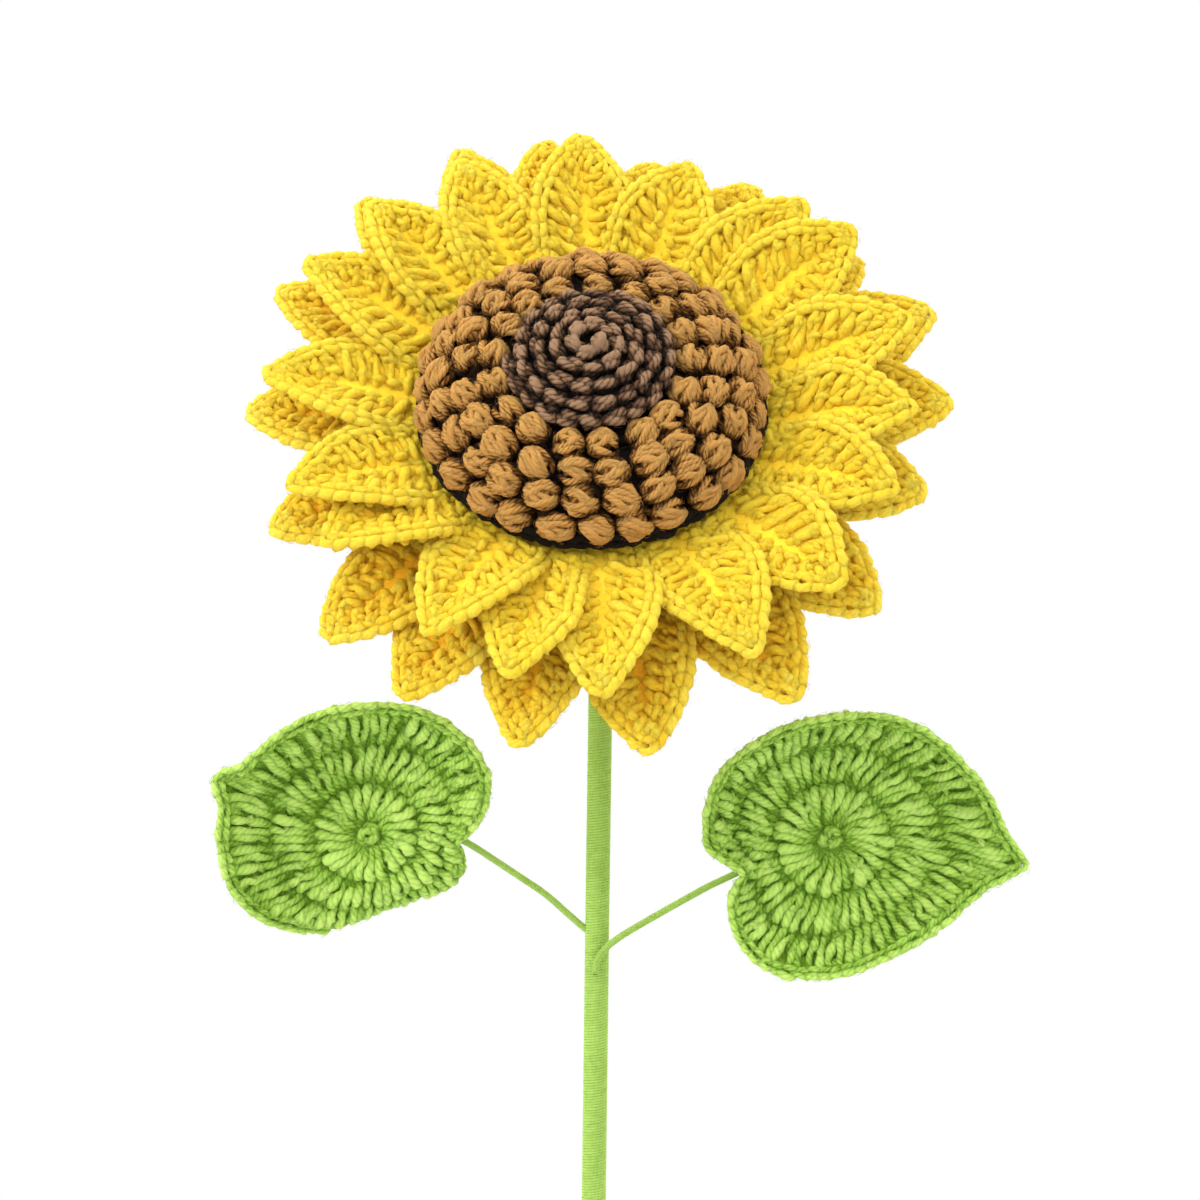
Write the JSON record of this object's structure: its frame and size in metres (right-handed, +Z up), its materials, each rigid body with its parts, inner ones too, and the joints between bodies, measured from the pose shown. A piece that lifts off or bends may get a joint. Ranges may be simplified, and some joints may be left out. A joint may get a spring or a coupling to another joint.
{
  "type": "crocheted sunflower stem",
  "caption": "Artificial sunflower in crocheted yarn: a yellow double-ringed head with a bobbled brown disc, on a wrapped wire stem with cupped leaves.",
  "frame": {"origin": "centre of the flat cut at the foot of the stem", "axes": "+Z up along the stem, -Y towards the side the flower faces, +X to the right seen from the front"},
  "size_m": [0.1817, 0.0917, 0.4261],
  "materials": {
    "yellow_yarn": "matte",
    "golden_yarn": "matte",
    "tan_yarn": "matte",
    "dark_brown_yarn": "matte",
    "green_yarn": "matte",
    "green_thread": "satin"
  },
  "bodies": {
    "root": {"petal_front_01": "yellow_yarn", "petal_front_02": "yellow_yarn", "petal_front_03": "yellow_yarn", "petal_front_04": "yellow_yarn", "petal_front_05": "yellow_yarn", "petal_front_06": "yellow_yarn", "petal_front_07": "yellow_yarn", "petal_front_08": "yellow_yarn", "petal_front_09": "yellow_yarn", "petal_front_10": "yellow_yarn", "petal_front_11": "yellow_yarn", "petal_front_12": "yellow_yarn", "petal_front_13": "yellow_yarn", "petal_front_14": "yellow_yarn", "petal_front_15": "yellow_yarn", "petal_front_16": "yellow_yarn", "petal_front_17": "yellow_yarn", "petal_front_18": "yellow_yarn", "petal_back_01": "golden_yarn", "petal_back_02": "golden_yarn", "petal_back_03": "golden_yarn", "petal_back_04": "golden_yarn", "petal_back_05": "golden_yarn", "petal_back_06": "golden_yarn", "petal_back_07": "golden_yarn", "petal_back_08": "golden_yarn", "petal_back_09": "golden_yarn", "petal_back_10": "golden_yarn", "petal_back_11": "golden_yarn", "petal_back_12": "golden_yarn", "petal_back_13": "golden_yarn", "petal_back_14": "golden_yarn", "petal_back_15": "golden_yarn", "petal_back_16": "golden_yarn", "petal_back_17": "golden_yarn", "petal_back_18": "golden_yarn", "disc": "tan_yarn", "cap": "dark_brown_yarn", "calyx": "green_yarn", "leaf_left": "green_yarn", "leaf_right": "green_yarn", "stem": "green_thread", "stalk_left": "green_thread", "stalk_right": "green_thread"}
  },
  "joints": []
}
